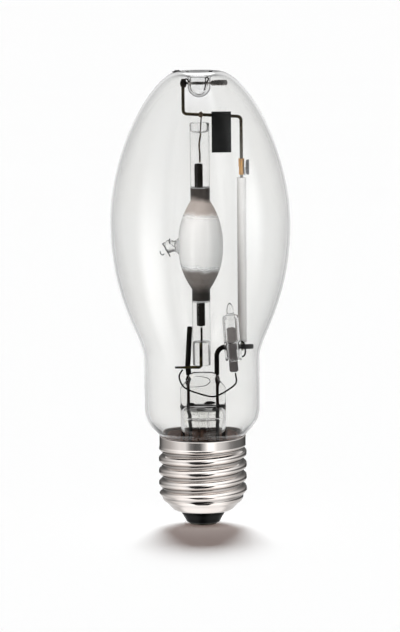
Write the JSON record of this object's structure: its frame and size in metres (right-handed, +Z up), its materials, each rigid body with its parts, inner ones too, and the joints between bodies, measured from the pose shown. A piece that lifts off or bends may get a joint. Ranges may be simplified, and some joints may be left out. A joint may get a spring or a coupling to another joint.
{
  "type": "metal halide lamp",
  "caption": "Metal halide lamp: clear elliptical glass bulb with an arc tube, getter and starter capsule on a wire mount, and an Edison screw cap.",
  "frame": {"origin": "middle of the centre contact's lower face, on the lamp's axis", "axes": "+Z up the lamp's axis from the cap to the crown of the bulb; +X to the right and -Y to the front, where the arc tube's mount is seen broadside"},
  "size_m": [0.054, 0.054, 0.138],
  "materials": {
    "bulb_glass": "clear blown glass",
    "nickel": "bright nickel plate on rolled sheet",
    "black_glass": "glossy black insulator",
    "contact_brass": "brass with a soldered centre",
    "cement": "matt brown basing cement",
    "stem_glass": "clear pressed glass",
    "quartz": "frosted white quartz with grey end coats",
    "clear_quartz": "clear quartz",
    "molybdenum": "dark grey foil",
    "capsule_foil": "mid grey foil",
    "tungsten": "drawn tungsten",
    "dark_steel": "oxidised nickel-plated wire",
    "seal_wire": "oxidised copper-brown wire",
    "lead_wire": "dull copper wire",
    "clip_metal": "thin spring strip",
    "getter_black": "matt black coated strip",
    "getter_pan": "dark grey pan",
    "collar_brass": "warm brass-coloured collar",
    "ceramic": "unglazed white sleeve"
  },
  "bodies": {
    "root": {"outer_bulb": "bulb_glass", "screw_shell": "nickel", "cap_insulator": "black_glass", "centre_contact": "contact_brass", "basing_cement": "cement", "glass_stem": "stem_glass", "exhaust_tube": "stem_glass", "left_seal_wire": "seal_wire", "right_seal_wire": "seal_wire", "left_outer_lead": "lead_wire", "right_outer_lead": "lead_wire", "left_support_rod": "dark_steel", "right_support_rod": "dark_steel", "arc_tube": "quartz", "upper_foil": "molybdenum", "lower_foil": "molybdenum", "upper_electrode": "tungsten", "lower_electrode": "tungsten", "upper_arc_lead": "molybdenum", "lower_arc_lead": "molybdenum", "lower_cross_rod": "dark_steel", "frame_wire": "dark_steel", "dimple_clip": "clip_metal", "clip_staple": "clip_metal", "getter_strip": "getter_black", "return_wire": "dark_steel", "ceramic_sleeve": "ceramic", "wire_collar": "collar_brass", "getter_disc": "getter_pan", "getter_strap": "getter_pan", "starter_capsule": "clear_quartz", "starter_foil": "capsule_foil", "starter_holding_wire": "dark_steel", "starter_wire": "dark_steel"}
  },
  "joints": []
}
